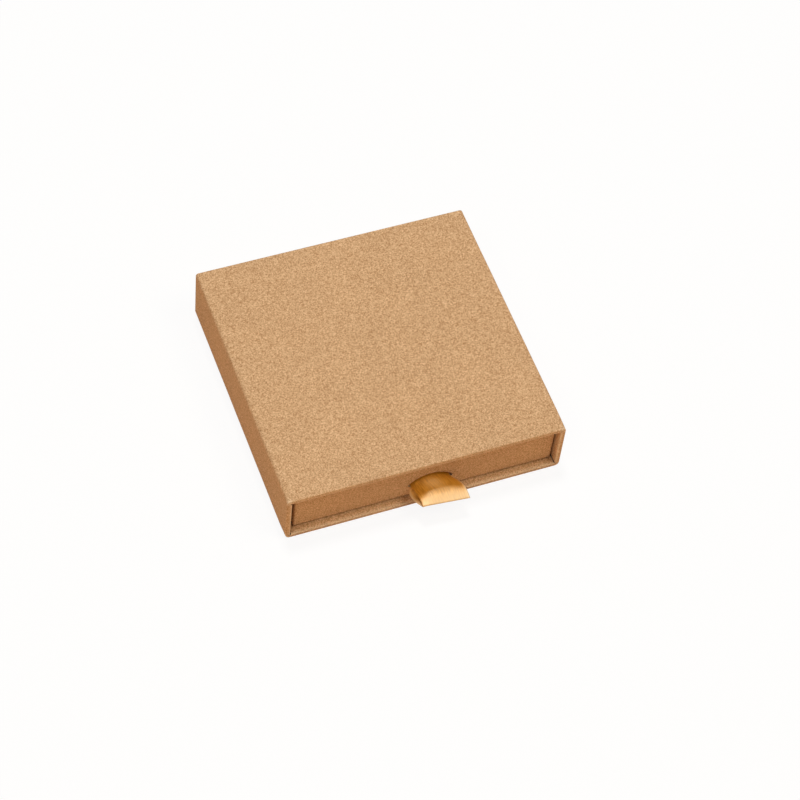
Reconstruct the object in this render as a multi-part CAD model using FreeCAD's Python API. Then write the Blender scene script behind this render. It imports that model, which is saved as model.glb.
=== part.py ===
import FreeCAD, Part
import math
import os

# A flat gift box of wrapped greyboard: a sleeve open at the front and a drawer with a ribbon pull.
# Millimetres. X is to the right seen from the front, Y to the back, Z up.
# The origin is the centre of the sleeve's underside, and the drawer comes out along -Y.

# Outer size of the closed box, without the ribbon
sleeve_width = 90.0
sleeve_depth = 90.0
sleeve_height = 20.0

# Sheet stock
sleeve_board = 1.2
drawer_board = 1.2
kraft_paper = 0.2
stay_tape = 0.1
ribbon_satin = 0.25

# The blank is grooved a little wider than a right angle, so its mitres stay open on the inside
mitre_gap = 0.15

# Free room between the drawer and the sleeve's lining: the loose drawer lies nearer to the right wall
drawer_left_gap = 1.75
drawer_right_gap = 0.7
drawer_under_gap = 0.3
drawer_over_gap = 0.7
drawer_back_gap = 0.4
drawer_recess = 2.4

# How far the papers reach, and how narrow their cuts are
mouth_turn_in = 14.0
back_flap = 7.0
back_sheet_margin = 1.2
paper_cut = 0.15
corner_slit = 0.35
wrap_seam_inset = 9.0
floor_liner_room = 0.3
lining_foot_room = 0.3

# A folded sheet turns on about twice its own thickness
fold_radius_share = 2.0
fold_radius = kraft_paper * fold_radius_share

# Stay tapes, each leg measured from the edge that it holds
sleeve_tape_leg = 8.0
drawer_tape_leg = 9.0

# Ribbon pull: a folded loop, set a little right of the middle, that leaves the drawer through an arched slit
ribbon_width = 15.0
ribbon_offset = 1.9
ribbon_reach = 9.7
ribbon_swing = 1.15
ribbon_drift = 1.65
ribbon_fold_radius = 0.35
ribbon_fold_rise = 0.7
ribbon_belly = 1.3
ribbon_crown_level = 8.5
ribbon_bow = math.radians(52.0)
ribbon_layer_gap = 0.1
slit_over_room = 0.5
slit_under_room = 0.15
slit_side_room = 0.25
ribbon_upper_tail = 5.0
ribbon_lower_tail = 3.2

# The loop's two layers from the slit to the fold. Each row: how far out, how much of the bow is left,
# how far the layer has drifted sideways, and how far it has risen to the fold or sunk to the belly
upper_layer_shares = (
    (0, 1, 0, 0),
    (0.1, 0.84, 0.2, 0),
    (0.22, 0.62, 0.44, 0.05),
    (0.36, 0.39, 0.7, 0.25),
    (0.52, 0.21, 0.92, 0.45),
    (0.7, 0.09, 1, 0.7),
    (0.86, 0.03, 1, 0.9),
    (1, 0, 1, 1),
)
lower_layer_shares = (
    (0, 1, 0, 0),
    (0.1, 0.8, 0.2, 0.45),
    (0.22, 0.6, 0.44, 0.8),
    (0.36, 0.4, 0.7, 0.95),
    (0.52, 0.24, 0.92, 1),
    (0.68, 0.12, 1, 0.8),
    (0.82, 0.05, 1, 0.4),
    (1, 0, 1, 0),
)

# One overrun serves every cut that has to break through a face
overrun = 1.0

# Planes of the sleeve, worked out from the sizes above
half_width = sleeve_width / 2
half_depth = sleeve_depth / 2
board_out = half_width - kraft_paper
board_in = board_out - sleeve_board
board_low = kraft_paper
board_floor = board_low + sleeve_board
board_ceiling = sleeve_height - board_floor
board_high = sleeve_height - board_low
lining_in = board_in - kraft_paper
lining_floor = board_floor + kraft_paper
lining_ceiling = board_ceiling - kraft_paper
mouth_y = -half_depth
board_front = mouth_y + kraft_paper
flap_face = half_depth - kraft_paper
board_back = flap_face - kraft_paper
back_board_front = board_back - sleeve_board
back_lining = back_board_front - kraft_paper

# Planes of the drawer
drawer_out = lining_in - (drawer_left_gap + drawer_right_gap) / 2
drawer_shift = (drawer_left_gap - drawer_right_gap) / 2
drawer_low = lining_floor + drawer_under_gap
drawer_high = lining_ceiling - drawer_over_gap
drawer_front = mouth_y + drawer_recess
drawer_back = back_lining - drawer_back_gap
wall_out = drawer_out - kraft_paper
wall_in = wall_out - drawer_board
wall_front = drawer_front + kraft_paper
wall_front_in = wall_front + drawer_board
wall_back = drawer_back - kraft_paper
wall_back_in = wall_back - drawer_board
wall_low = drawer_low + kraft_paper
wall_high = drawer_high - kraft_paper
base_top = wall_low + drawer_board


def block(x, y, z):
    """A box between two planes along each axis, each given as a pair."""
    low = FreeCAD.Vector(min(x), min(y), min(z))
    high = FreeCAD.Vector(max(x), max(y), max(z))
    size = high - low
    return Part.makeBox(size.x, size.y, size.z, low)


def centred(half):
    """The pair of planes at the same distance on both sides of the middle."""
    return (-half, half)


def prism(outline, depth):
    """A closed outline drawn in an X-Z plane, carried along Y."""
    return Part.Face(outline).extrude(FreeCAD.Vector(0, depth, 0))


def rounded_block(half, low, high, radius, front, back):
    """A long block whose four edges along Y are round, as folded board and paper are."""
    body = block(centred(half), (front, back), (low, high))
    along = [edge for edge in body.Edges if edge.BoundBox.YLength > edge.BoundBox.XLength + edge.BoundBox.ZLength]
    return body.makeFillet(radius, along)


def soften_ends(body, front, back):
    """Round the outer edges at both ends of a rounded block, where the paper folds over."""
    ends = []
    for edge in body.Edges:
        box = edge.BoundBox
        if max(abs(box.YMin - box.YMax), min(abs(box.YMin - front), abs(box.YMin - back))) < kraft_paper:
            ends.append(edge)
    return body.makeFillet(fold_radius, ends)


def ring(outer, inner, y):
    """The frame between two rectangles, each (half width, low, high), over a stretch of Y."""
    body = block(centred(outer[0]), y, outer[1:])
    hole = block(centred(inner[0]), (y[0] - overrun, y[1] + overrun), inner[1:])
    return body.cut(hole)


def export(name, shape):
    """Check that a piece is one sound solid and write it to its own file."""
    solids = shape.Solids
    if len(solids) != 1 or not solids[0].isValid():
        raise ValueError(name + " is not one valid solid")
    solids[0].exportStep("parts/" + name + ".step")


# Sleeve boards: one grooved and folded blank gives four walls with mitred corners

def on_round(centre, outward, sideways, angle):
    """A point on the round of a folded corner, an angle away from straight outward."""
    return centre + (outward * math.cos(angle) + sideways * math.sin(angle)) * sleeve_board


def mitred_wall(start, end, outward):
    """A wall between two inner corners: each mitred end is an eighth of a round about its corner.

    The mitre leans back from the corner by the gap on the inside, and meets the next wall's on the outside."""
    along = (end - start).normalize()
    mitre = math.pi / 4
    outline = []
    for corner, sideways in ((end, along), (start, -along)):
        outline.append([on_round(corner, outward, sideways, mitre * share) for share in (1, 1 / 2, 0)])
    far, near = outline
    inner_start = start + along * mitre_gap
    inner_end = end - along * mitre_gap
    edges = [
        Part.LineSegment(inner_start, inner_end),
        Part.LineSegment(inner_end, far[0]),
        Part.Arc(*far),
        Part.LineSegment(far[-1], near[-1]),
        Part.Arc(*reversed(near)),
        Part.LineSegment(near[0], inner_start),
    ]
    return prism(Part.Wire([edge.toShape() for edge in edges]), board_back - board_front)


def sleeve_walls():
    """The four walls by name, before the stay tapes are pressed into them."""
    corner = {
        "low_left": FreeCAD.Vector(-board_in, board_front, board_floor),
        "low_right": FreeCAD.Vector(board_in, board_front, board_floor),
        "high_left": FreeCAD.Vector(-board_in, board_front, board_ceiling),
        "high_right": FreeCAD.Vector(board_in, board_front, board_ceiling),
    }
    right = FreeCAD.Vector(1, 0, 0)
    up = FreeCAD.Vector(0, 0, 1)
    return {
        "top": mitred_wall(corner["high_left"], corner["high_right"], up),
        "bottom": mitred_wall(corner["low_left"], corner["low_right"], -up),
        "left": mitred_wall(corner["low_left"], corner["high_left"], -right),
        "right": mitred_wall(corner["low_right"], corner["high_right"], right),
    }


def sleeve_back_board():
    """The back closes the sleeve from inside its four walls."""
    return block(centred(board_in), (back_board_front, board_back), (board_floor, board_ceiling))


def sleeve_seam_tape():
    """Stay tape round the blank's open corner, at the lower left, full depth."""
    around = rounded_block(board_out, board_low, board_high, sleeve_board, board_front, board_back)
    within = rounded_block(
        board_out - stay_tape,
        board_low + stay_tape,
        board_high - stay_tape,
        sleeve_board - stay_tape,
        board_front - overrun,
        board_back + overrun,
    )
    leg = sleeve_board + sleeve_tape_leg
    corner = block(
        (-half_width, -board_out + leg),
        (board_front, board_back - stay_tape - sleeve_tape_leg),
        (0, board_low + leg),
    )
    return around.cut(within).common(corner)


def sleeve_back_tape(side):
    """An angle of stay tape: one leg on the wall, the other folded over the back board."""
    leg = sleeve_tape_leg
    skin = board_back - stay_tape
    if side in ("top", "bottom"):
        outer = board_high if side == "top" else board_low
        inward = -1 if side == "top" else 1
        on_wall = (outer, outer + inward * stay_tape)
        over_back = (outer, outer + inward * leg)
        reach = centred(board_in - leg)
        wall_leg = block(reach, (board_back - leg, board_back), on_wall)
        back_leg = block(reach, (skin, board_back), over_back)
    else:
        outer = board_out if side == "right" else -board_out
        inward = -1 if side == "right" else 1
        on_wall = (outer, outer + inward * stay_tape)
        over_back = (outer, outer + inward * leg)
        reach = (board_floor, board_ceiling)
        wall_leg = block(on_wall, (board_back - leg, board_back), reach)
        back_leg = block(over_back, (skin, board_back), reach)
    return wall_leg.fuse(back_leg).removeSplitter()


# Papers of the sleeve

def corner_cuts(half, low, high, reach, y):
    """Four thin plates at 45 degrees through the corners of a rectangle, where the paper is slit."""
    plates = []
    middle = (low + high) / 2
    for side in (-1, 1):
        for level in (low, high):
            down = -1 if level < middle else 1
            plate = block(centred(reach), y, centred(corner_slit / 2))
            plate.rotate(FreeCAD.Vector(0, 0, 0), FreeCAD.Vector(0, 1, 0), -math.degrees(math.pi / 4) * side * down)
            plate.translate(FreeCAD.Vector(side * half, 0, level))
            plates.append(plate)
    return plates


def sleeve_wrap():
    """One kraft sheet: round the four walls, turned in at the mouth, folded in flaps on the back."""
    skin = rounded_block(half_width, 0, sleeve_height, sleeve_board + kraft_paper, mouth_y, flap_face)
    skin = soften_ends(skin, mouth_y, flap_face)
    core = rounded_block(board_out, board_low, board_high, sleeve_board, board_front, board_back)
    mouth = (lining_in, lining_floor, lining_ceiling)
    entry = block(centred(mouth[0]), (mouth_y - overrun, board_front + overrun), mouth[1:])
    window = block(
        centred(half_width - back_flap),
        (board_back - overrun, flap_face + overrun),
        (back_flap, sleeve_height - back_flap),
    )
    turned_in = ring((board_in, board_floor, board_ceiling), mouth, (mouth_y, mouth_y + mouth_turn_in))
    sheet = skin.cut(core).cut(entry).cut(window).fuse(turned_in).removeSplitter()
    in_mouth = (mouth_y - overrun, mouth_y + mouth_turn_in + overrun)
    for cut in corner_cuts(lining_in, lining_floor, lining_ceiling, sleeve_board, in_mouth):
        sheet = sheet.cut(cut)
    seam = -half_width + wrap_seam_inset
    meeting = block(
        (seam - paper_cut / 2, seam + paper_cut / 2),
        (mouth_y - overrun, flap_face + overrun),
        (-overrun, back_flap + overrun),
    )
    return sheet.cut(meeting)


def sleeve_back_sheet():
    """The last kraft sheet on the back: it lies over the flaps and is pressed down between them."""
    half = half_width - back_sheet_margin
    over = block(centred(half), (flap_face, half_depth), (back_sheet_margin, sleeve_height - back_sheet_margin))
    hollow = block(
        centred(half_width - back_flap - kraft_paper),
        (flap_face - overrun, half_depth + overrun),
        (back_flap + kraft_paper, sleeve_height - back_flap - kraft_paper),
    )
    pressed = block(
        centred(half_width - back_flap),
        (board_back, flap_face),
        (back_flap, sleeve_height - back_flap),
    )
    return over.cut(hollow).fuse(pressed)


def sleeve_liner():
    """Kraft on the inner walls, from the end of the turned-in wrap to the back board."""
    return ring(
        (board_in, board_floor, board_ceiling),
        (lining_in, lining_floor, lining_ceiling),
        (mouth_y + mouth_turn_in, back_board_front),
    )


def sleeve_back_liner():
    """Kraft on the inner back, inside the walls' liner."""
    return block(centred(lining_in), (back_lining, back_board_front), (lining_floor, lining_ceiling))


# Drawer boards: four walls stand round the base

def drawer_walls():
    """The base and the four walls by name, before tapes and ribbon are let into them."""
    height = (wall_low, wall_high)
    between = (wall_front_in, wall_back_in)
    return {
        "base": block(centred(wall_in), between, (wall_low, base_top)),
        "front": block(centred(wall_out), (wall_front, wall_front_in), height),
        "back": block(centred(wall_out), (wall_back_in, wall_back), height),
        "left": block((-wall_out, -wall_in), between, height),
        "right": block((wall_in, wall_out), between, height),
    }


def drawer_corner_tape(side, end):
    """An upright angle of stay tape round one corner of the drawer."""
    x = side * wall_out
    y = wall_front if end == "front" else wall_back
    inward = 1 if end == "front" else -1
    height = (wall_low, wall_high)
    leg_x = block((x, x - side * drawer_tape_leg), (y, y + inward * stay_tape), height)
    leg_y = block((x, x - side * stay_tape), (y, y + inward * drawer_tape_leg), height)
    return leg_x.fuse(leg_y).removeSplitter()


def banded(lower, upper):
    """The closed outline between two faces of a band, each given by its two ends and a middle point.

    A face that rises less than half the satin's thickness between its ends is straight, any other an arc."""
    edges = []
    for points in (lower, upper[::-1]):
        first, middle, last = points
        flat = middle.distanceToLine(first, last - first) < ribbon_satin / 2
        edges.append((Part.LineSegment(first, last) if flat else Part.Arc(*points)).toShape())
    edges.insert(1, Part.LineSegment(lower[-1], upper[-1]).toShape())
    edges.append(Part.LineSegment(upper[0], lower[0]).toShape())
    return Part.Wire(edges)


def arched(centre, radius, bow, across):
    """The two ends and the middle of an arc about a centre: it turns by bow to each side of straight up."""
    up = FreeCAD.Vector(0, 0, 1)
    return [centre + (across * math.sin(angle) + up * math.cos(angle)) * radius for angle in (-bow, 0, bow)]


def ribbon_band(reach, drift, level, bow, swing):
    """The ribbon cut across: a band of its width, bowed upward as an arch that turns by bow to each side.

    level is the height of the arch's two ends, and swing turns the cut so that its right end is further out."""
    half = ribbon_satin / 2
    across = FreeCAD.Vector(math.cos(swing), -math.sin(swing), 0)
    foot = FreeCAD.Vector(ribbon_offset + drift, drawer_front - reach, level)
    if bow == 0:
        side = across * (ribbon_width / 2)
        rise = FreeCAD.Vector(0, 0, half)
        lower, upper = [[foot - side + lift, foot + lift, foot + side + lift] for lift in (-rise, rise)]
    else:
        radius = ribbon_width / (2 * bow)
        centre = foot - FreeCAD.Vector(0, 0, radius * math.cos(bow))
        lower, upper = [arched(centre, radius + stand, bow, across) for stand in (-half, half)]
    return banded(lower, upper)


def arch_chord_level():
    """Height of the two ends of the upper layer's arch in the slit."""
    radius = ribbon_width / (2 * ribbon_bow)
    return drawer_low + ribbon_crown_level - radius * (1 - math.cos(ribbon_bow))


def ribbon_slit(front, back):
    """The arched opening that both layers of the ribbon go through, between two planes along Y."""
    half = ribbon_satin / 2
    radius = ribbon_width / (2 * ribbon_bow)
    under = -(ribbon_satin + ribbon_layer_gap) - half - slit_under_room
    bow = ribbon_bow * (radius / (radius + under)) + slit_side_room / radius
    centre = FreeCAD.Vector(ribbon_offset, front, arch_chord_level() - radius * math.cos(ribbon_bow))
    right = FreeCAD.Vector(1, 0, 0)
    arcs = [arched(centre, radius + stand, bow, right) for stand in (under, half + slit_over_room)]
    return prism(banded(*arcs), back - front)


def drawer_wrap():
    """One kraft sheet: the drawer's underside, outer walls and rims, turned in down to the floor."""
    outside = block(centred(drawer_out), (drawer_front, drawer_back), (drawer_low, drawer_high))
    outside = outside.makeFillet(fold_radius, outside.Edges)
    boards = block(centred(wall_out), (wall_front, wall_back), (wall_low, wall_high))
    turned_in = block(
        centred(wall_in),
        (wall_front_in, wall_back_in),
        (base_top + lining_foot_room, drawer_high),
    )
    inside = block(
        centred(wall_in - kraft_paper),
        (wall_front_in + kraft_paper, wall_back_in - kraft_paper),
        (base_top, drawer_high + overrun),
    )
    sheet = outside.cut(boards).fuse(turned_in).cut(inside).removeSplitter()
    return sheet.cut(ribbon_slit(drawer_front - overrun, wall_front + drawer_board / 2))


def drawer_floor_liner():
    """Kraft on the drawer's floor, cut a little smaller than the floor."""
    margin = kraft_paper + floor_liner_room
    return block(
        centred(wall_in - margin),
        (wall_front_in + margin, wall_back_in - margin),
        (base_top, base_top + kraft_paper),
    )


# Ribbon pull

def upper_layer(root_level, tip_level):
    """Cuts through the upper layer, which rises from the slit to the fold."""
    cuts = []
    for reach, bow, drift, lift in upper_layer_shares:
        level = root_level + (tip_level - root_level) * lift
        swing = ribbon_swing / ribbon_width * reach
        cuts.append(ribbon_band(ribbon_reach * reach, ribbon_drift * drift, level, ribbon_bow * bow, swing))
    return cuts


def lower_layer(root_level, root_bow, tip_level):
    """Cuts through the lower layer, which sags in a belly between the slit and the fold."""
    cuts = []
    for reach, bow, drift, sag in lower_layer_shares:
        level = root_level + (tip_level - root_level) * reach - ribbon_belly * sag
        swing = ribbon_swing / ribbon_width * reach
        cuts.append(ribbon_band(ribbon_reach * reach, ribbon_drift * drift, level, root_bow * bow, swing))
    return cuts


def ribbon_pull():
    """Satin folded to a loop: both layers go through the slit, and the tails lie flat behind the front board."""
    half = ribbon_satin / 2
    turn = ribbon_fold_radius + half
    chord = arch_chord_level()
    fold_level = chord + ribbon_fold_rise
    arch_radius = ribbon_width / (2 * ribbon_bow)
    lower_radius = arch_radius - ribbon_satin - ribbon_layer_gap
    lower_bow = ribbon_width / (2 * lower_radius)
    lower_chord = chord - arch_radius * math.cos(ribbon_bow) + lower_radius * math.cos(lower_bow)
    upper = upper_layer(chord, fold_level + turn)
    lower = lower_layer(lower_chord, lower_bow, fold_level - turn)
    solids = [Part.makeLoft(cuts, True, True) for cuts in (upper, lower)]
    swing = ribbon_swing / ribbon_width
    across = FreeCAD.Vector(math.cos(swing), -math.sin(swing), 0)
    axis = FreeCAD.Vector(ribbon_offset + ribbon_drift, drawer_front - ribbon_reach, fold_level)
    solids.append(Part.Face(upper[-1]).revolve(axis, across, 180))
    tail_y = wall_front_in - ribbon_satin
    for cuts in (upper, lower):
        solids.append(Part.Face(cuts[0]).extrude(FreeCAD.Vector(0, tail_y - drawer_front, 0)))
    x = (ribbon_offset - ribbon_width / 2, ribbon_offset + ribbon_width / 2)
    solids.append(block(x, (tail_y, wall_front_in), tail_levels()))
    return solids[0].multiFuse(solids[1:])


def tail_levels():
    """Heights between which the two glued tails lie, one above the other."""
    return (arch_chord_level() - ribbon_lower_tail, drawer_low + ribbon_crown_level + ribbon_upper_tail)


def tail_bed():
    """The shallow bed that the glued tails press into the front board."""
    half = ribbon_width / 2 + slit_side_room
    low, high = tail_levels()
    return block(
        (ribbon_offset - half, ribbon_offset + half),
        (wall_front_in - ribbon_satin, wall_front_in),
        (low - slit_side_room, high + slit_side_room),
    )


def main():
    os.makedirs("parts", exist_ok=True)

    back_tapes = {side: sleeve_back_tape(side) for side in ("top", "bottom", "left", "right")}
    seam_tape = sleeve_seam_tape()
    back_board = sleeve_back_board()
    for side, wall in sleeve_walls().items():
        pressed = wall.cut(back_tapes[side]).cut(seam_tape)
        back_board = back_board.cut(back_tapes[side])
        export("sleeve_" + side + "_board", pressed)
        export("sleeve_back_tape_" + side, back_tapes[side])
    export("sleeve_back_board", back_board)
    export("sleeve_seam_tape", seam_tape)
    export("sleeve_wrap", sleeve_wrap())
    export("sleeve_back_sheet", sleeve_back_sheet())
    export("sleeve_liner", sleeve_liner())
    export("sleeve_back_liner", sleeve_back_liner())

    walls = drawer_walls()
    pieces = {}
    for side, side_name in ((-1, "left"), (1, "right")):
        for end in ("front", "back"):
            tape = drawer_corner_tape(side, end)
            walls[end] = walls[end].cut(tape)
            walls[side_name] = walls[side_name].cut(tape)
            pieces["drawer_tape_" + end + "_" + side_name] = tape
    walls["front"] = walls["front"].cut(ribbon_slit(wall_front - overrun, wall_front_in + overrun)).cut(tail_bed())
    for name, wall in walls.items():
        pieces["drawer_" + name + "_board"] = wall
    pieces["drawer_wrap"] = drawer_wrap()
    pieces["drawer_floor_liner"] = drawer_floor_liner()
    pieces["ribbon_pull"] = ribbon_pull()
    for name, piece in pieces.items():
        export(name, piece.translated(FreeCAD.Vector(drawer_shift, 0, 0)))


main()
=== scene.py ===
import math

import bmesh
import bpy
import numpy as np
from mathutils import Matrix, Vector


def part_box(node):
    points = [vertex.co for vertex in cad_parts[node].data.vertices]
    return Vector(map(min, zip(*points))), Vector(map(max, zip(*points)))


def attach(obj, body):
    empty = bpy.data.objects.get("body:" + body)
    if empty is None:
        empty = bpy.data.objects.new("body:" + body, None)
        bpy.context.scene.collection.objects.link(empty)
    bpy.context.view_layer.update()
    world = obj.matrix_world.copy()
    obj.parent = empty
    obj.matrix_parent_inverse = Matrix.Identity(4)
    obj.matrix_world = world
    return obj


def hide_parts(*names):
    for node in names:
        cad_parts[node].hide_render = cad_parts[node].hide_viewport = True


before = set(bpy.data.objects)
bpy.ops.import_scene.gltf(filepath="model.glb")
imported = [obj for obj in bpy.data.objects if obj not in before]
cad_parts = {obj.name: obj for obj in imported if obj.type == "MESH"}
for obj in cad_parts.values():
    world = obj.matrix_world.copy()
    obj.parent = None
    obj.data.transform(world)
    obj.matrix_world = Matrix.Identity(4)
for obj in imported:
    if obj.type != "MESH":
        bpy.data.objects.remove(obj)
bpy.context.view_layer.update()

# Camera
# A long lens looks down on the front left of the closed box, from a little over 0.8 m.
# The box lies turned, and the camera is rolled, as when a small thing is shot by hand on a table.
camera_aim = Vector((0.00297, -0.01351, 0.01000))
camera_distance = 0.8225
camera_azimuth = math.radians(26.23)
camera_elevation = math.radians(54.77)
camera_roll = math.radians(7.36)
camera_lens = 119.22


def camera_axes(azimuth, elevation, roll):
    """Right, up and backward directions of a camera, from where it looks and how far it is rolled."""
    forward = Vector((
        math.sin(azimuth) * math.cos(elevation),
        math.cos(azimuth) * math.cos(elevation),
        -math.sin(elevation),
    ))
    level = Vector((math.cos(azimuth), -math.sin(azimuth), 0))
    above = level.cross(forward)
    right = level * math.cos(roll) + above * math.sin(roll)
    return right, right.cross(forward), -forward


right, up, backward = camera_axes(camera_azimuth, camera_elevation, camera_roll)
camera_data = bpy.data.cameras.new("camera")
camera_data.lens = camera_lens
camera_data.sensor_width = 36
camera_data.clip_start = 0.05
camera = bpy.data.objects.new("camera", camera_data)
place = Matrix((right, up, backward)).transposed().to_4x4()
place.translation = camera_aim + backward * camera_distance
camera.matrix_world = place
bpy.context.scene.collection.objects.link(camera)
bpy.context.scene.camera = camera
bpy.context.scene.view_settings.view_transform = "Standard"

# Boards
# Grey recycled board, 1.2 mm thick, die-cut and folded or butted.
# Only their faces at the ribbon's slit can be glimpsed, so the CAD pieces stay and get the pulp's look.


def linear(code):
    """Linear red, green, blue and alpha of an sRGB hex colour."""
    values = [int(code[i:i + 2], 16) / 255 for i in (1, 3, 5)]
    return [v / 12.92 if v <= 0.04045 else ((v + 0.055) / 1.055) ** 2.4 for v in values] + [1.0]


def add(tree, kind, settings=None, inputs=None):
    """One shader node with its settings, its constant inputs and its links."""
    node = tree.nodes.new(kind)
    for name, value in (settings or {}).items():
        setattr(node, name, value)
    for name, value in (inputs or {}).items():
        if isinstance(value, bpy.types.NodeSocket):
            tree.links.new(value, node.inputs[name])
        else:
            node.inputs[name].default_value = value
    return node


def new_material(name):
    """An empty node material and its Principled shader, joined to the output."""
    material = bpy.data.materials.new(name)
    material.use_nodes = True
    tree = material.node_tree
    return material, tree, tree.nodes["Principled BSDF"]


def per_mm(period):
    """A noise scale, in cycles per metre, from the size in millimetres of its lumps."""
    return 1000 / period


def two_tones(tree, factor, dark, pale):
    """A colour ramp from a dark to a pale tone, each given as its place on the ramp and hex colour."""
    ramp = add(tree, "ShaderNodeValToRGB", None, {"Fac": factor})
    for element, (position, code) in zip(ramp.color_ramp.elements, (dark, pale)):
        element.position = position
        element.color = linear(code)
    return ramp.outputs["Color"]


def greyboard_recycled():
    """Recycled greyboard, calendered: mottled grey pulp with darker scraps of old print."""
    material, tree, shader = new_material("greyboard_recycled_calendered")
    where = add(tree, "ShaderNodeTexCoord").outputs["Object"]
    pulp = add(tree, "ShaderNodeTexNoise", None, {
        "Vector": where,
        "Scale": per_mm(0.9),
        "Detail": 4.0,
        "Roughness": 0.65,
    })
    scraps = add(tree, "ShaderNodeTexVoronoi", None, {
        "Vector": where,
        "Scale": per_mm(1.6),
        "Randomness": 1.0,
    })
    grey = two_tones(tree, pulp.outputs["Fac"], (0.35, "#7d7870"), (0.68, "#a49e94"))
    scrap = add(tree, "ShaderNodeMapRange", None, {
        "Value": scraps.outputs["Distance"],
        "From Min": 0.05,
        "From Max": 0.2,
        "To Min": 0.35,
        "To Max": 0.0,
    })
    mixed = add(tree, "ShaderNodeMix", {"data_type": "RGBA"}, {
        "Factor": scrap.outputs["Result"],
        "A": grey,
        "B": linear("#5d5a57"),
    })
    relief = add(tree, "ShaderNodeBump", None, {
        "Height": pulp.outputs["Fac"],
        "Strength": 0.5,
        "Distance": 0.00005,
    })
    tree.links.new(mixed.outputs["Result"], shader.inputs["Base Color"])
    tree.links.new(relief.outputs["Normal"], shader.inputs["Normal"])
    shader.inputs["Roughness"].default_value = 0.92
    shader.inputs["IOR"].default_value = 1.45
    shader.inputs["Specular IOR Level"].default_value = 0.25
    return material


def dress(node, material):
    """Give a CAD piece its material."""
    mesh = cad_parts[node].data
    mesh.materials.clear()
    mesh.materials.append(material)


greyboard = greyboard_recycled()
for side in ("top", "bottom", "left", "right", "back"):
    dress("sleeve_" + side + "_board", greyboard)
for side in ("base", "front", "back", "left", "right"):
    dress("drawer_" + side + "_board", greyboard)

# Stay tapes
# Gummed kraft tape, 0.1 mm thick, wetted and pressed over the corners of the boards.
# The wraps hide it, so the CAD pieces stay and get the tape's plain brown with its faint streak.


def gummed_tape():
    """Gummed tape, coated and slit: brown paper with a faint upright streak."""
    material, tree, shader = new_material("gummed_kraft_tape")
    where = add(tree, "ShaderNodeTexCoord").outputs["Object"]
    stretched = add(tree, "ShaderNodeMapping", None, {"Vector": where, "Scale": (1.0, 1.0, 0.15)})
    streak = add(tree, "ShaderNodeTexNoise", None, {
        "Vector": stretched.outputs["Vector"],
        "Scale": per_mm(0.5),
        "Detail": 2.0,
    })
    brown = two_tones(tree, streak.outputs["Fac"], (0.3, "#b08a5e"), (0.7, "#c49f72"))
    tree.links.new(brown, shader.inputs["Base Color"])
    shader.inputs["Roughness"].default_value = 0.55
    return material


tape = gummed_tape()
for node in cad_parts:
    if "_tape" in node:
        dress(node, tape)

# Sleeve wrap
# One sheet of brown kraft paper, 0.2 mm, glued round the four walls with its edges meeting underneath.
# It is turned in at the mouth, slit at the corners, and folded in flaps on the back.
millimetre = 0.001

# The mesh is a hair thinner than the paper, so that its glued face doesn't share a plane with the boards
wrap_paper = 0.18
wrap_edge_round = 0.95
wrap_fold_round = 0.4
wrap_turn_in = 14.0
wrap_flap = 7.0
wrap_seam = 9.0
wrap_seam_cut = 0.12
# The mouth's inner fold is paler, partly worn and partly a painted highlight: its inset and reach
wrap_pale_fold_in = 0.12
wrap_pale_fold_reach = 0.45

# The sheet's mesh: how many steps its folds and corners have, and how close its points lie
fold_steps = 5
corner_steps = 8
grading_reach = 6.0
wrap_fine_step = 0.12
wrap_coarse_step = 1.1
wrap_run_fine = 0.5
wrap_run_coarse = 1.3
wrap_turn_in_points = 14
wrap_edge_points = 9
wrap_flap_points = 8

# The paper's unevenness: how deep it sinks, and the waves it is made of
wrap_unevenness = 0.035
wrap_wave_seed = 11
wrap_wave_count = 14
wrap_wave_longest = 46.0
wrap_wave_shortest = 13.0
wrap_wave_slant = 0.7
wrap_wave_from_mouth = 8.0
wrap_wave_from_back = 1.0

# The mouth's corners, anticlockwise from the lower right: how blunt each is, and how wide its slit
# stands open
mouth_corner_round = np.array((1.75, 1.35, 0.95, 1.85))
mouth_corner_open = np.array((0.10, 0.16, 0.34, 0.20))
mouth_round_reach = 6.0
mouth_slit_start = 0.8
mouth_slit_round = 0.12
mouth_slit_fade = 0.6
# The ears at the mouth's corners are paler, partly worn and partly a painted highlight: how pale and how
# far
mouth_ear_wear_and_highlight = 0.8
mouth_ear_reach = 0.9


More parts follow.
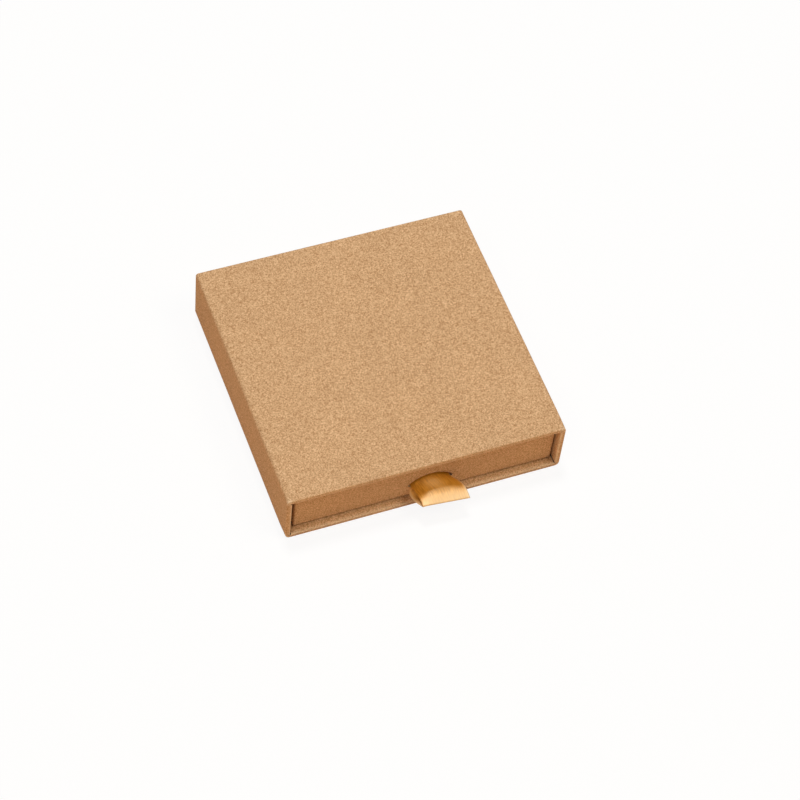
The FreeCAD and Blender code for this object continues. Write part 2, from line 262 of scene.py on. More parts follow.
def kraft_paper():
    """Brown kraft, machine made from long unbleached fibre and left unglazed: matt, with a fine grain.

    Where a piece carries its pale marks, on sharp folds and at cut corners, the paper is paler: partly worn
    fibre, partly a painted highlight where those folds catch the light."""
    material, tree, shader = new_material("kraft_paper_unbleached_machine_made")
    where = add(tree, "ShaderNodeTexCoord").outputs["Object"]
    cloud = add(tree, "ShaderNodeTexNoise", None, {
        "Vector": where,
        "Scale": per_mm(14.0),
        "Detail": 2.0,
        "Roughness": 0.5,
    })
    grain = add(tree, "ShaderNodeTexNoise", None, {
        "Vector": where,
        "Scale": per_mm(0.48),
        "Detail": 1.0,
        "Roughness": 0.5,
    })
    fine = add(tree, "ShaderNodeTexNoise", None, {
        "Vector": where,
        "Scale": per_mm(0.3),
        "Detail": 1.0,
        "Roughness": 0.5,
    })
    flecks = add(tree, "ShaderNodeTexVoronoi", None, {
        "Vector": where,
        "Scale": per_mm(3.4),
        "Randomness": 1.0,
    })
    grains = add(tree, "ShaderNodeMath", {"operation": "MULTIPLY_ADD"}, {
        0: grain.outputs["Fac"],
        1: 0.5,
        2: 0.0,
    })
    grained = add(tree, "ShaderNodeMath", {"operation": "MULTIPLY_ADD"}, {
        0: fine.outputs["Fac"],
        1: 0.5,
        2: grains.outputs[0],
    })
    brown = two_tones(tree, grained.outputs[0], (0.35, "#a97e54"), (0.65, "#e8c39a"))
    clouded = add(tree, "ShaderNodeMapRange", None, {
        "Value": cloud.outputs["Fac"],
        "From Min": 0.3,
        "From Max": 0.7,
        "To Min": 0.975,
        "To Max": 1.025,
    })
    toned = add(tree, "ShaderNodeVectorMath", {"operation": "SCALE"}, {
        0: brown,
        "Scale": clouded.outputs["Result"],
    })
    fleck = add(tree, "ShaderNodeMapRange", None, {
        "Value": flecks.outputs["Distance"],
        "From Min": 0.05,
        "From Max": 0.1,
        "To Min": 0.45,
        "To Max": 0.0,
    })
    flecked = add(tree, "ShaderNodeMix", {"data_type": "RGBA"}, {
        "Factor": fleck.outputs["Result"],
        "A": toned.outputs["Vector"],
        "B": linear("#8a6038"),
    })
    # Paler toward cream on the mouth's fold and ears: partly worn fibre, partly a painted highlight where
    # they catch the light
    paler_fibre_and_highlight_layer = add(tree, "ShaderNodeAttribute", {"attribute_name": "paler_fibre_and_highlight"})
    paler_fibre_and_highlight_share = add(tree, "ShaderNodeMath", {"operation": "MULTIPLY"}, {
        0: paler_fibre_and_highlight_layer.outputs["Fac"],
        1: grained.outputs[0],
    })
    paled = add(tree, "ShaderNodeMix", {"data_type": "RGBA"}, {
        "Factor": paler_fibre_and_highlight_share.outputs[0],
        "A": flecked.outputs["Result"],
        "B": linear("#fbe6c8"),
    })
    relief = add(tree, "ShaderNodeBump", None, {
        "Height": grained.outputs[0],
        "Strength": 0.35,
        "Distance": 0.00004,
    })
    tree.links.new(paled.outputs["Result"], shader.inputs["Base Color"])
    tree.links.new(relief.outputs["Normal"], shader.inputs["Normal"])
    shader.inputs["Roughness"].default_value = 0.82
    shader.inputs["IOR"].default_value = 1.48
    shader.inputs["Specular IOR Level"].default_value = 0.3
    return material


def kraft_cut_edge():
    """The cut edge of the same paper: its fibre shows, paler than the face."""
    material, tree, shader = new_material("kraft_paper_cut_edge")
    where = add(tree, "ShaderNodeTexCoord").outputs["Object"]
    fibre = add(tree, "ShaderNodeTexNoise", None, {
        "Vector": where,
        "Scale": per_mm(0.3),
        "Detail": 2.0,
    })
    pale = two_tones(tree, fibre.outputs["Fac"], (0.35, "#cfa67a"), (0.65, "#ecd0ab"))
    tree.links.new(pale, shader.inputs["Base Color"])
    shader.inputs["Roughness"].default_value = 0.95
    return material


def mm_box(node):
    """The lowest and highest corners of a CAD piece in millimetres, as two arrays."""
    low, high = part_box(node)
    return np.array(low) / millimetre, np.array(high) / millimetre


def graded(length, fine, coarse):
    """Places along a straight run from 0 to 1: close together at both ends, wide apart between.

    The step grows evenly from the fine one at an end to the coarse one a few millimetres in."""
    inner = min(grading_reach, length / 3)
    count = max(2, int(round(2 * inner / (fine + coarse))))
    steps = np.linspace(fine, coarse, count)
    rise = np.concatenate(([0.0], np.cumsum(steps))) * inner / steps.sum()
    places = max(2, int(math.ceil((length - 2 * inner) / coarse)) + 1)
    middle = np.linspace(inner, length - inner, places)
    return np.concatenate((rise[:-1], middle, (length - rise[:-1])[::-1])) / length


def rectangle_stations(width, height, round_steps, fine, coarse, extra):
    """Stations round a rectangle with rounded corners, anticlockwise from the lower left.

    Each has a unit place on the inner rectangle of corner centres and a unit spoke out of it, so
    that a point is (unit place * (half size - radius) + spoke * radius) for any size and radius.
    extra holds further unit places for the lower side."""
    across = 2 * graded(width, fine, coarse) - 1
    upward = 2 * graded(height, fine, coarse) - 1
    lower = np.unique(np.concatenate((across, np.asarray(extra, float))))
    turn = np.linspace(0, math.pi / 2, round_steps + 1)[1:-1]
    sides = [
        (lower, -np.ones_like(lower), -math.pi / 2),
        (np.ones_like(upward), upward, 0.0),
        (-across, np.ones_like(across), math.pi / 2),
        (-np.ones_like(upward), -upward, math.pi),
    ]
    place_x, place_z, angle = [], [], []
    for x, z, facing in sides:
        place_x += [x, np.full(len(turn), x[-1])]
        place_z += [z, np.full(len(turn), z[-1])]
        angle += [np.full(len(x), facing), facing + turn]
    angle = np.concatenate(angle)
    return np.concatenate(place_x), np.concatenate(place_z), np.cos(angle), np.sin(angle)


def carried_loops(stations, half_x, half_z, radius):
    """Rounded rectangles of many sizes on the same stations: two arrays (loops, stations).

    radius holds one value for each loop, or one for each loop and station."""
    place_x, place_z, spoke_x, spoke_z = stations
    half_x, half_z = (np.asarray(v, float)[:, None] for v in (half_x, half_z))
    x = place_x * (half_x - radius) + spoke_x * radius
    z = place_z * (half_z - radius) + spoke_z * radius
    return x, z


def quarter_weights(stations):
    """How near each station is to each corner: 1 in that corner's quarter and 0 in the others.

    The corners run anticlockwise from the lower right: four rows, one column for each station."""
    place_x, place_z = stations[:2]
    right, above = place_x > 0, place_z > 0
    quarters = (right & ~above, right & above, ~right & above, ~right & ~above)
    return np.stack(quarters).astype(float)


def facing_down(spoke):
    """Which stations lie on the lower straight side, where the spoke points straight out of it."""
    return spoke < -0.99


def fold_arc(centre, radius, start, end, steps):
    """Points on an arc about a centre, from one angle to another in degrees."""
    angle = np.radians(np.linspace(start, end, steps + 1))
    return np.stack((centre[0] + radius * np.cos(angle), centre[1] + radius * np.sin(angle)), 1)


def eased(value, start, end):
    """0 before start, 1 after end, and a smooth cubic rise between them."""
    share = np.clip((value - start) / (end - start), 0, 1)
    return share * share * (3 - 2 * share)


def waves(x, y, seed, count, longest, shortest):
    """Gentle unevenness: a sum of level waves of random direction, length and phase, about 1 high."""
    draw = np.random.default_rng(seed)
    total = np.zeros(np.broadcast(x, y).shape)
    for _ in range(count):
        heading = draw.uniform(0, 2 * math.pi)
        phase = draw.uniform(0, 2 * math.pi)
        mix = draw.uniform(0, 1)
        length = shortest * (longest / shortest) ** mix
        run = x * math.cos(heading) + y * math.sin(heading)
        total = total + np.sin(2 * math.pi * run / length + phase)
    return total / math.sqrt(count)


def loop_normals(points):
    """Unit normals of a grid of closed loops: the cross product of its row and column differences."""
    along = np.roll(points, -1, 1) - np.roll(points, 1, 1)
    across = np.gradient(points, axis=0)
    normal = np.cross(along, across)
    return normal / np.maximum(np.linalg.norm(normal, axis=2, keepdims=True), 1e-12)


def grid_piece(name, points, closed, keep=None, paler_fibre_and_highlight=None):
    """A mesh of quads on a grid of points in millimetres; closed joins the last column to the first.

    keep says for each cell whether its quad is there, for slits and openings, and the last argument how
    pale each point is, where the paper or satin is worn or has a paler weave and where a highlight is
    painted."""
    rows, columns = points.shape[:2]
    index = np.arange(rows * columns).reshape(rows, columns)
    if closed:
        index = np.concatenate((index, index[:, :1]), 1)
    quads = np.stack((index[:-1, :-1], index[:-1, 1:], index[1:, 1:], index[1:, :-1]), 2)
    quads = quads.reshape(-1, 4) if keep is None else quads[keep]
    used, quads = np.unique(quads, return_inverse=True)
    mesh = bpy.data.meshes.new(name)
    corners = points.reshape(-1, 3)[used] * millimetre
    mesh.from_pydata(corners.tolist(), [], quads.reshape(-1, 4).tolist())
    mesh.polygons.foreach_set("use_smooth", np.ones(len(mesh.polygons), bool))
    if paler_fibre_and_highlight is not None:
        paler_fibre_and_highlight_layer = mesh.attributes.new("paler_fibre_and_highlight", "FLOAT", "POINT")
        paler_fibre_and_highlight_layer.data.foreach_set("value", paler_fibre_and_highlight.ravel()[used])
    mesh.update()
    piece = bpy.data.objects.new(name, mesh)
    bpy.context.scene.collection.objects.link(piece)
    return piece


def thicken(piece, thickness, rim=0, offset=-1):
    """Give a sheet its thickness: behind the face that shows, or half on each side at offset 0.

    rim is the step in material slots from its face to its edges."""
    solid = piece.modifiers.new("thickness", "SOLIDIFY")
    solid.thickness = thickness * millimetre
    solid.offset = offset
    solid.use_even_offset = False
    solid.material_offset_rim = rim


def sleeve_profile(mouth, back, wall):
    """How the sheet runs from the flap on the back round into the mouth: (inset from the outside, Y).

    Straight runs joined by fold arcs, written from the mouth: turn-in, edge, outside, flap."""
    fold = wrap_fold_round
    inwards = np.linspace(mouth + wrap_turn_in, mouth + fold, wrap_turn_in_points)
    turn_in = np.stack((np.full(len(inwards), wall), inwards), 1)
    inner_fold = fold_arc((wall - fold, mouth + fold), fold, 0, -90, fold_steps)
    across = np.linspace(wall - fold, fold, wrap_edge_points)
    edge = np.stack((across, np.full(len(across), mouth)), 1)
    outer_fold = fold_arc((fold, mouth + fold), fold, -90, -180, fold_steps)
    share = graded(back - mouth, wrap_run_fine, wrap_run_coarse)
    run = mouth + fold + (back - mouth - 2 * fold) * share
    outside = np.stack((np.zeros(len(run)), run), 1)
    back_fold = fold_arc((fold, back - fold), fold, 180, 90, fold_steps)
    behind = np.linspace(fold, wrap_flap, wrap_flap_points)
    flap = np.stack((behind, np.full(len(behind), back)), 1)
    runs = [turn_in, inner_fold[1:], edge[1:], outer_fold[1:], outside[1:], back_fold[1:], flap[1:]]
    return np.concatenate(runs)[::-1]


def sleeve_wrap_sheet():
    """The wrap as rounded rectangles of the profile's inset, one loop for each of its points.

    At the mouth the round of each corner grows to its own value, and past the slit's start each flap
    draws back from the corner by the slit's opening times e to the minus distance over the fade. The
    outside sinks by a sum of waves. The seam is open underneath only. The paper is paler along the
    mouth's inner fold and on the ears at its corners, each time as a bell curve of the distance: partly
    worn fibre, partly a painted highlight where the fold and the ears catch the light."""
    low, high = mm_box("sleeve_wrap")
    wall = high[0] - mm_box("sleeve_back_liner")[1][0]
    half_x, half_z = high[0], (high[2] - low[2]) / 2
    mouth, back = low[1], high[1]
    profile = sleeve_profile(mouth, back, wall)
    inset, y = profile[:, :1], profile[:, 1:]
    seam = -1 + (wrap_seam - wrap_edge_round) / (half_x - wrap_edge_round)
    seam_half = wrap_seam_cut / 2 / half_x
    seam_sides = (seam - seam_half, seam + seam_half)
    stations = rectangle_stations(
        2 * half_x, 2 * half_z, corner_steps, wrap_fine_step, wrap_coarse_step, seam_sides
    )
    quarter = quarter_weights(stations)
    at_mouth = y < (mouth + back) / 2
    blunt = 1 - eased(y, mouth, mouth + mouth_round_reach)
    radius = wrap_edge_round + (mouth_corner_round @ quarter - wrap_edge_round) * blunt
    sharpening = np.where(at_mouth, radius / mouth_slit_start * inset, inset)
    radius = np.clip(radius - sharpening, mouth_slit_round, None)
    x, z = carried_loops(stations, half_x - profile[:, 0], half_z - profile[:, 0], radius)

    place_x, place_z, spoke_x, spoke_z = stations
    from_side = (1 - abs(place_x)) * half_x
    from_level = (1 - abs(place_z)) * half_z
    opening = (mouth_corner_open @ quarter) * eased(inset, mouth_slit_start, wall) * at_mouth
    on_level = abs(spoke_z) > abs(spoke_x)
    x = x - np.sign(place_x) * opening * np.exp(-from_side / mouth_slit_fade) * on_level
    z = z - np.sign(place_z) * opening * np.exp(-from_level / mouth_slit_fade) * ~on_level

    points = np.stack((x, np.broadcast_to(y, x.shape), z + half_z), 2)
    swell = waves(
        x + z, y + wrap_wave_slant * z,
        wrap_wave_seed, wrap_wave_count, wrap_wave_longest, wrap_wave_shortest,
    )
    sunk = wrap_unevenness * np.clip(0.5 * swell - 0.5, -1, 0)
    outside = eased(-inset, -wall, 0) * eased(y, mouth, mouth + wrap_wave_from_mouth)
    outside = outside * (y < back - wrap_wave_from_back)
    points = points + loop_normals(points) * (sunk * outside)[..., None]

    flat = np.isclose(abs(place_x), 1) & np.isclose(abs(place_z), 1)
    in_corner = flat & np.roll(flat, -1)
    past_start = np.minimum(inset[:-1], inset[1:]) >= mouth_slit_start
    slit = past_start & at_mouth[:-1] & in_corner
    in_seam = facing_down(spoke_z) & (abs(place_x - seam) < 1.01 * seam_half)
    underneath = (inset[:-1] == 0) & (inset[1:] == 0)
    open_seam = underneath & in_seam & np.roll(in_seam, -1)
    # Paler along the mouth's inner fold and on the ears at its corners: partly worn paper, partly a painted
    # highlight
    from_fold = np.hypot(inset - (wall - wrap_pale_fold_in), y - (mouth + wrap_pale_fold_in))
    from_corner = np.hypot(from_side, from_level) * (1 - flat) + np.abs(y - mouth)
    ears = mouth_ear_wear_and_highlight * np.exp(-(from_corner / mouth_ear_reach) ** 2)
    paler_fibre_and_highlight = np.maximum(np.exp(-(from_fold / wrap_pale_fold_reach) ** 2), ears)
    return grid_piece("sleeve_wrap_sheet", points, True, ~(slit | open_seam), paler_fibre_and_highlight)


kraft = kraft_paper()
kraft_edge = kraft_cut_edge()
wrap = sleeve_wrap_sheet()
wrap.data.materials.append(kraft)
wrap.data.materials.append(kraft_edge)
thicken(wrap, wrap_paper, rim=1)
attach(wrap, "sleeve")
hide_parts("sleeve_wrap")

# Sleeve back sheet and liners
# The last kraft sheets: one over the flaps on the back, the others on the inner walls and inner back.
# They are cut flat and glued on, so the CAD pieces stay and get the kraft.
for node in ("sleeve_back_sheet", "sleeve_liner", "sleeve_back_liner", "drawer_floor_liner"):
    dress(node, kraft)

# Drawer wrap
# One kraft sheet round the tray: underside, walls and rims, turned in down the inner walls.
# An arched slit in its front lets the ribbon through, and its edges are pressed a little into the board.
drawer_fold_round = 0.4
drawer_foot_round = 0.65
drawer_turn_foot = 0.3
drawer_crown_level = 8.5
drawer_slit_turn = math.radians(57.5)
drawer_slit_over = 0.62
drawer_slit_under = 0.6
drawer_slit_lip = 0.08
drawer_slit_lip_reach = 0.25
ribbon_width = 15.0
ribbon_bow = math.radians(52.0)
ribbon_arch = ribbon_width / (2 * ribbon_bow)

# The sheet's mesh: coarse rows in the middle of the underside, finer ones near its edge, and a band of
# fine cells on the front round the slit, whose outline takes the points that are near to it
drawer_corner_steps = 6
drawer_foot_steps = 7
drawer_coarse_step = 2.2
drawer_margin = 4.0
drawer_margin_step = 0.4
drawer_middle_points = 30
drawer_margin_points = 8
drawer_band_low = 4.6
drawer_band_over = 1.6
drawer_band_half = 8.6
drawer_below_points = 6
drawer_above_points = 9
drawer_rim_points = 4
drawer_inner_points = 12
drawer_slit_step = 0.14
drawer_slit_near = 0.6 * drawer_slit_step
drawer_slit_inside = -0.02
drawer_weld = 2e-6

tray_low, tray_high = mm_box("drawer_wrap")
board_low, board_high = mm_box("drawer_front_board")
slit_x = mm_box("ribbon_pull")[0][0] + ribbon_width / 2
slit_z = tray_low[2] + drawer_crown_level - ribbon_arch


def slit_distance(x, z):
    """How far a point of the front is outside the slit's arched outline, negative inside it.

    The outline is a ring's sector: the larger of the distances past its rounds and past its ends."""
    reach = np.hypot(x - slit_x, z - slit_z)
    angle = np.arctan2(x - slit_x, z - slit_z)
    middle = ribbon_arch + (drawer_slit_over - drawer_slit_under) / 2
    beside = abs(reach - middle) - (drawer_slit_over + drawer_slit_under) / 2
    beyond = (abs(angle) - drawer_slit_turn) * middle
    return np.maximum(beside, beyond)


def tray_profile(low, high, floor, wall):
    """How the sheet runs from the middle of the underside to the foot of the inner wall: (inset, Z).

    Straight runs and fold arcs: underside, bottom edge, outer wall, rim and its two folds, inner wall."""
    fold = drawer_fold_round
    half = (high[1] - low[1]) / 2
    blunt = drawer_foot_round
    reach = np.concatenate((
        np.linspace(half, drawer_margin, drawer_middle_points),
        np.linspace(drawer_margin - drawer_margin_step, blunt, drawer_margin_points),
    ))
    underside = np.stack((reach, np.full(len(reach), low[2])), 1)
    foot = fold_arc((blunt, low[2] + blunt), blunt, -90, -180, drawer_foot_steps)
    band_top = low[2] + drawer_crown_level + drawer_band_over
    levels = np.concatenate((
        np.linspace(low[2] + blunt, drawer_band_low, drawer_below_points)[:-1],
        np.arange(drawer_band_low, band_top, drawer_slit_step),
        np.linspace(band_top, high[2] - fold, drawer_above_points),
    ))
    outer = np.stack((np.zeros(len(levels)), levels), 1)
    over = fold_arc((fold, high[2] - fold), fold, 180, 90, fold_steps)
    across = np.linspace(fold, wall - fold, drawer_rim_points)
    rim = np.stack((across, np.full(len(across), high[2])), 1)
    into = fold_arc((wall - fold, high[2] - fold), fold, 90, 0, fold_steps)
    down = np.linspace(high[2] - fold, floor, drawer_inner_points)
    inner = np.stack((np.full(len(down), wall), down), 1)
    return np.concatenate([underside, foot[1:], outer[1:], over[1:], rim[1:], into[1:], inner[1:]])


def drawer_wrap_sheet():
    """The tray's sheet as rounded rectangles of the profile's inset, with the slit's cells left out.

    Points near the slit's outline move onto it, along the way their distance from it grows. Round the
    slit the paper is pressed in by the lip's depth times e to the minus distance over its reach."""
    wall = (board_high[1] - board_low[1]) + 2 * (board_low[1] - tray_low[1])
    base_top = mm_box("drawer_floor_liner")[0][2]
    profile = tray_profile(tray_low, tray_high, base_top + drawer_turn_foot, wall)
    half_x = (tray_high[0] - tray_low[0]) / 2
    half_y = (tray_high[1] - tray_low[1]) / 2
    middle = (tray_low + tray_high) / 2
    inset = profile[:, 0]
    near_slit = np.arange(slit_x - drawer_band_half, slit_x + drawer_band_half, drawer_slit_step)
    extra = (near_slit - middle[0]) / (half_x - drawer_fold_round)
    stations = rectangle_stations(
        2 * half_x, 2 * half_y, drawer_corner_steps, wrap_fine_step, drawer_coarse_step, extra
    )
    radius = np.clip(drawer_fold_round - inset, 0.1, None)[:, None]
    radius = np.minimum(radius, (half_y - inset)[:, None] + 1e-6)
    x, y = carried_loops(stations, half_x - inset, half_y - inset, radius)
    x, y = x + middle[0], y + middle[1]
    z = np.broadcast_to(profile[:, 1:], x.shape).copy()

    on_front = facing_down(stations[3]) & (inset == 0)[:, None]
    distance = slit_distance(x, z)
    step = 1e-3
    slope_x = (slit_distance(x + step, z) - distance) / step
    slope_z = (slit_distance(x, z + step) - distance) / step
    snap = on_front & (abs(distance) < drawer_slit_near)
    x = x - np.where(snap, distance * slope_x, 0)
    z = z - np.where(snap, distance * slope_z, 0)
    distance = slit_distance(x, z)
    lip = drawer_slit_lip * np.exp(-np.clip(distance, 0, None) / drawer_slit_lip_reach)
    y = y + np.where(on_front, lip, 0)

    points = np.stack((x, y, z), 2)
    pair = distance + np.roll(distance, -1, 1)
    front_pair = on_front & np.roll(on_front, -1, 1)
    open_cell = front_pair[:-1] & front_pair[1:] & (pair[:-1] + pair[1:] < drawer_slit_inside)
    piece = grid_piece("drawer_wrap_sheet", points, True, ~open_cell)
    shape = bmesh.new()
    shape.from_mesh(piece.data)
    bmesh.ops.remove_doubles(shape, verts=shape.verts, dist=drawer_weld)
    shape.to_mesh(piece.data)
    shape.free()
    return piece


tray = drawer_wrap_sheet()
tray.data.materials.append(kraft)
tray.data.materials.append(kraft_edge)
thicken(tray, wrap_paper, rim=1)
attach(tray, "drawer")
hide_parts("drawer_wrap")

# Ribbon pull
# Golden polyester satin, 15 mm wide, heat-cut and folded to a loop. Both layers go through the slit, and
# the tails are glued flat on the inside of the front board, one up and one down, under the turned-in kraft.
ribbon_satin = 0.14
ribbon_layer_step = 0.3
ribbon_skew = 1.15
ribbon_swing = math.atan2(ribbon_skew, ribbon_width)
ribbon_roll = -0.35
ribbon_tail_up = 4.6
ribbon_tail_down = 2.8
ribbon_bed = 0.25
ribbon_bend = 0.3
ribbon_rows = 150
ribbon_columns = 41
ribbon_span_points = 40
ribbon_wall_steps = 6
ribbon_bend_steps = 6
ribbon_tail_steps = 8

# Places along the loop from the slit round the fold and back, at the middle of the width: how far out
# of the drawer's front, how far to the right of the slit's middle, how high above the arch's ends, and
# what share of the arch's bow is left
loop_places = np.array((
    (0.0, 0.00, -0.26, 1.00),
    (1.1, 0.38, -0.06, 0.84),
    (2.2, 0.76, 0.30, 0.62),
    (3.5, 1.16, 0.72, 0.39),
    (4.9, 1.48, 1.05, 0.21),
    (6.2, 1.62, 1.18, 0.09),
    (7.5, 1.65, 1.14, 0.04),
    (8.6, 1.65, 1.04, 0.01),
    (9.2, 1.65, 0.94, 0.00),
    (9.36, 1.65, 0.72, 0.00),
    (9.0, 1.62, 0.50, 0.00),
    (8.2, 1.34, 0.18, 0.01),
    (7.1, 0.90, -0.20, 0.05),
    (6.0, 0.46, -0.54, 0.14),
    (4.8, 0.06, -0.78, 0.26),
    (3.5, -0.30, -0.92, 0.42),
    (2.3, -0.50, -0.94, 0.60),
    (1.1, -0.50, -0.84, 0.82),
    (0.0, -0.26, -0.66, 1.00),
))
ribbon_curl = 0.3
ribbon_curl_width = 0.9

# Where the satin is pale, in millimetres and as shares of the pale tone: a painted highlight round the
# fold and along the selvedges that catch the light, with a little of the heat-cut selvedge's own paler
# weave
ribbon_selvedge = 0.45
ribbon_left_selvedge = 1.6 * ribbon_selvedge
ribbon_selvedge_start = 1.5
ribbon_fold_highlight_reach = 2.6
ribbon_selvedge_pale = 0.6
ribbon_fold_pale = 0.4
ribbon_most_pale = 0.8


def curve_through(places, count):
    """A smooth curve through places, one value a column: each span is a cubic whose slope at a place is
    half the step from the place before to the place after. count points lie evenly along its length."""
    before = np.vstack((2 * places[0] - places[1], places[:-1]))
    after = np.vstack((places[1:], 2 * places[-1] - places[-2]))
    slope = (after - before) / 2
    t = np.linspace(0, 1, ribbon_span_points, endpoint=False)[None, :, None]
    start, end = places[:-1, None], places[1:, None]
    cubic = (
        (2 * t ** 3 - 3 * t ** 2 + 1) * start
        + (t ** 3 - 2 * t ** 2 + t) * slope[:-1, None]
        + (3 * t ** 2 - 2 * t ** 3) * end
        + (t ** 3 - t ** 2) * slope[1:, None]
    )
    fine = np.vstack((cubic.reshape(-1, places.shape[1]), places[-1:]))
    steps = np.linalg.norm(np.diff(fine[:, [0, 2]], axis=0), axis=1)
    length = np.concatenate(([0], np.cumsum(steps)))
    even = np.linspace(0, length[-1], count)
    return np.stack([np.interp(even, length, column) for column in fine.T], 1)


def ribbon_surface():
    """The ribbon as rows across its width, each an arc as long as the width, flat where no bow is left.

    A row's arc is (sine, cosine less its end's) of equal angles, times width over twice the bow. The left
    selvedge curls down by e to the minus distance over the curl's width. Between the front and the tails
    the arch runs straight back, and at the board's inner face it turns up or down in a quarter round."""
    front = tray_low[1]
    tail_y = board_high[1] - ribbon_bed + ribbon_satin / 2
    inwards = np.array((0, 1, 0))
    upwards = np.array((0, 0, 1))
    chord = tray_low[2] + drawer_crown_level - ribbon_arch * (1 - math.cos(ribbon_bow))
    loop = curve_through(loop_places, ribbon_rows)
    out, drift, level, share = loop.T[:, :, None]
    across = np.linspace(-1, 1, ribbon_columns)[None]
    layer = np.where(np.arange(len(loop))[:, None] < len(loop) / 2, 0.0, ribbon_layer_step)
    bow = np.maximum(share, 1e-3) * ribbon_width / (2 * (ribbon_arch - layer * share))
    side = ribbon_width / (2 * bow) * np.sin(across * bow)
    rise = ribbon_width / (2 * bow) * (np.cos(across * bow) - np.cos(bow))
    reach = out / out.max()
    swing = ribbon_swing * reach
    x = slit_x + drift + side * np.cos(swing)
    y = front - out - side * np.sin(swing)
    from_left = (across + 1) * ribbon_width / 2
    curl = ribbon_curl * np.clip(2 * reach, 0, 1) * np.exp(-from_left / ribbon_curl_width)
    z = chord + level + rise + ribbon_roll * reach * across / 2 - curl
    rows = np.stack(np.broadcast_arrays(x, y, z), 2)

    def tail(row, sign, length):
        """The rows from a layer's root through the wall and along its glued tail, the root's first."""
        through = np.linspace(0, 1, ribbon_wall_steps + 1)[1:, None, None]
        level_run = row + through * (tail_y - ribbon_bend - row[:, 1:2]) * inwards
        turn = np.radians(np.linspace(0, 90, ribbon_bend_steps + 1))[1:, None, None]
        quarter = np.sin(turn) * inwards + sign * (1 - np.cos(turn)) * upwards
        bend = level_run[-1] + ribbon_bend * quarter
        along = np.linspace(0, 1, ribbon_tail_steps + 1)[1:, None, None]
        return np.concatenate((level_run, bend, bend[-1] + along * sign * length * upwards))

    upper = tail(rows[0], 1, ribbon_tail_up)
    lower = tail(rows[-1], -1, ribbon_tail_down)
    return np.concatenate((upper[::-1], rows, lower))


def satin_ribbon():
    """Polyester satin, woven with long floats along the ribbon, which draw out its golden shine.

    The shine is spread across the ribbon's width and narrow along it, with U of its own map across."""
    material, tree, shader = new_material("satin_ribbon_polyester_woven")
    where = add(tree, "ShaderNodeUVMap", {"uv_map": "ribbon"}).outputs["UV"]
    stretched = add(tree, "ShaderNodeMapping", None, {"Vector": where, "Scale": (1.0, 0.12, 1.0)})
    floats = add(tree, "ShaderNodeTexNoise", None, {
        "Vector": stretched.outputs["Vector"],
        "Scale": 3.0,
        "Detail": 2.0,
    })
    gold = two_tones(tree, floats.outputs["Fac"], (0.3, "#b4740e"), (0.7, "#dc9c36"))
    # Paler toward cream where the mesh marks it: a painted highlight round the fold and on the lit
    # selvedges, partly the selvedge's own paler weave
    paler_fibre_and_highlight_share = add(tree, "ShaderNodeAttribute", {"attribute_name": "paler_fibre_and_highlight"})
    paled_satin = add(tree, "ShaderNodeMix", {"data_type": "RGBA"}, {
        "Factor": paler_fibre_and_highlight_share.outputs["Fac"],
        "A": gold,
        "B": linear("#f3dcb4"),
    })
    relief = add(tree, "ShaderNodeBump", None, {
        "Height": floats.outputs["Fac"],
        "Strength": 0.8,
        "Distance": 0.00003,
    })
    tree.links.new(paled_satin.outputs["Result"], shader.inputs["Base Color"])
    tree.links.new(relief.outputs["Normal"], shader.inputs["Normal"])
    along = add(tree, "ShaderNodeTangent", {"direction_type": "UV_MAP", "uv_map": "ribbon"})
    tree.links.new(along.outputs["Tangent"], shader.inputs["Tangent"])
    shader.inputs["Roughness"].default_value = 0.42
    shader.inputs["IOR"].default_value = 1.64
    shader.inputs["Anisotropic"].default_value = 0.65
    shader.inputs["Specular IOR Level"].default_value = 1.0
    shader.inputs["Specular Tint"].default_value = linear("#ffedc4")
    return material


def ribbon_selvedge_and_highlight(along, fold):
    """How pale the satin is: bell curves of the distances from its selvedges and from the fold.

    The right selvedge is pale on both layers and the left one on the lower layer only. The paleness is a
    painted highlight where the satin faces the lamp above: round the fold, and on the lower layer's left
    selvedge, which sticks out into the light; on the right selvedge it is also the heat-cut weave's own
    paler tone."""
    from_left = np.linspace(0, ribbon_width, ribbon_columns)[None]
    lower = eased(along, fold, fold + ribbon_selvedge_start)
    selvedges = np.exp(-((ribbon_width - from_left) / ribbon_selvedge) ** 2)
    selvedges = selvedges + lower * np.exp(-(from_left / ribbon_left_selvedge) ** 2)
    # Painted highlight round the fold, where the satin faces the lamp above
    fold_highlight = np.exp(-((along - fold) / ribbon_fold_highlight_reach) ** 2)
    pale = ribbon_selvedge_pale * selvedges + ribbon_fold_pale * fold_highlight
    return np.clip(pale, 0, ribbon_most_pale)


def uv_from_grid(piece, u, v):
    """Lay the piece's own coordinates, one pair for each vertex, in its UV map named ribbon."""
    layer = piece.data.uv_layers.new(name="ribbon")
    corner = np.empty(len(piece.data.loops), int)
    piece.data.loops.foreach_get("vertex_index", corner)
    layer.data.foreach_set("uv", np.stack((u[corner], v[corner]), 1).ravel())


ribbon_points = ribbon_surface()
ribbon_steps = np.linalg.norm(np.diff(ribbon_points, axis=0), axis=2)
ribbon_along = np.concatenate((np.zeros((1, ribbon_columns)), np.cumsum(ribbon_steps, 0)))
ribbon_fold = ribbon_along[np.argmin(ribbon_points[:, ribbon_columns // 2, 1])].mean()
ribbon_pale = ribbon_selvedge_and_highlight(ribbon_along, ribbon_fold)
ribbon = grid_piece("ribbon_pull_satin", ribbon_points, False, paler_fibre_and_highlight=ribbon_pale)
ribbon_across = np.broadcast_to(np.linspace(0, ribbon_width, ribbon_columns), ribbon_along.shape)
uv_from_grid(ribbon, ribbon_across.ravel(), ribbon_along.ravel())
ribbon.data.materials.append(satin_ribbon())
thicken(ribbon, ribbon_satin, offset=0)
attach(ribbon, "drawer")
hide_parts("ribbon_pull")

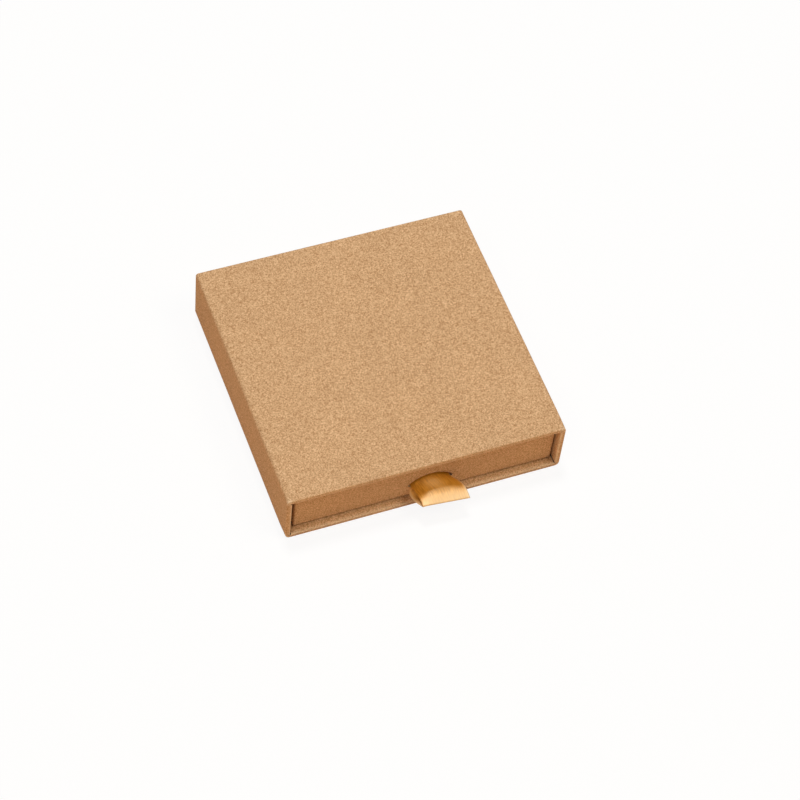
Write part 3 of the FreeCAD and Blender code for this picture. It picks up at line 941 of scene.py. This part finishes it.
# Floor and light
# A plain pale table under soft studio lamps: a small one high up and a little behind, which casts the
# sleeve's shadow on the ribbon's root, two wide weak ones at the front left and front right, and a
# weak low card in front of the mouth.
floor_half = 3.0
floor_mesh = bpy.data.meshes.new("floor")
floor_turns = ((-1, -1), (1, -1), (1, 1), (-1, 1))
floor_corners = [(x * floor_half, y * floor_half, 0) for x, y in floor_turns]
floor_mesh.from_pydata(floor_corners, [], [(0, 1, 2, 3)])
floor = bpy.data.objects.new("floor", floor_mesh)
bpy.context.scene.collection.objects.link(floor)


def pale_floor():
    """Matt white table. The camera sees it white with a faint shadow, and it throws warm light back."""
    material, tree, shader = new_material("table_matt_white")
    path = add(tree, "ShaderNodeLightPath")
    seen = add(tree, "ShaderNodeMath", {"operation": "MAXIMUM"}, {
        0: path.outputs["Is Camera Ray"],
        1: path.outputs["Is Glossy Ray"],
    })
    colour = add(tree, "ShaderNodeMix", {"data_type": "RGBA"}, {
        "Factor": seen.outputs[0],
        "A": linear("#ffd6aa"),
        "B": linear("#ffffff"),
    })
    glow = add(tree, "ShaderNodeMath", {"operation": "MULTIPLY"}, {0: seen.outputs[0], 1: 0.9})
    tree.links.new(colour.outputs["Result"], shader.inputs["Base Color"])
    shader.inputs["Roughness"].default_value = 0.9
    shader.inputs["Specular IOR Level"].default_value = 0.0
    white = add(tree, "ShaderNodeEmission", None, {"Color": linear("#ffffff"), "Strength": 1.0})
    mixed = add(tree, "ShaderNodeMixShader", None, {
        0: glow.outputs[0],
        1: shader.outputs["BSDF"],
        2: white.outputs["Emission"],
    })
    tree.links.new(mixed.outputs[0], tree.nodes["Material Output"].inputs["Surface"])
    return material


floor_mesh.materials.append(pale_floor())

# The backdrop is white to the camera and in reflections, and only a weak warm fill for all else
world = bpy.data.worlds.new("studio")
world.use_nodes = True
bpy.context.scene.world = world
sky = world.node_tree
backdrop = sky.nodes["Background"]
ray = add(sky, "ShaderNodeLightPath")
direct = add(sky, "ShaderNodeMath", {"operation": "MAXIMUM"}, {
    0: ray.outputs["Is Camera Ray"],
    1: ray.outputs["Is Glossy Ray"],
})
level = add(sky, "ShaderNodeMapRange", None, {
    "Value": direct.outputs[0],
    "To Min": 0.05,
    "To Max": 1.0,
})
tint = add(sky, "ShaderNodeMix", {"data_type": "RGBA"}, {
    "Factor": direct.outputs[0],
    "A": linear("#ffeecf"),
    "B": linear("#ffffff"),
})
sky.links.new(level.outputs["Result"], backdrop.inputs["Strength"])
sky.links.new(tint.outputs["Result"], backdrop.inputs["Color"])


def lamp(name, position, size, power, colour):
    """A square soft lamp at a place in metres, turned to the middle of the box's underside."""
    data = bpy.data.lights.new(name, "AREA")
    data.size = size
    data.energy = power
    data.color = linear(colour)[:3]
    holder = bpy.data.objects.new(name, data)
    holder.location = position
    holder.rotation_mode = "QUATERNION"
    holder.rotation_quaternion = (Vector((0, 0, 0)) - Vector(position)).to_track_quat("-Z", "Y")
    bpy.context.scene.collection.objects.link(holder)
    return holder


lamp("lamp_above", (0.0, 0.25, 1.1), size=0.2, power=6.1, colour="#ffffff")
lamp("lamp_left", (-0.55, -0.26, 1.1), size=0.5, power=3.0, colour="#fff1da")
lamp("lamp_right", (0.52, -0.38, 1.1), size=0.6, power=5.4, colour="#fff1da")
card = lamp("card_in_front", (-0.26, -0.42, 0.10), size=0.25, power=0.22, colour="#fff4e4")
card.visible_camera = False
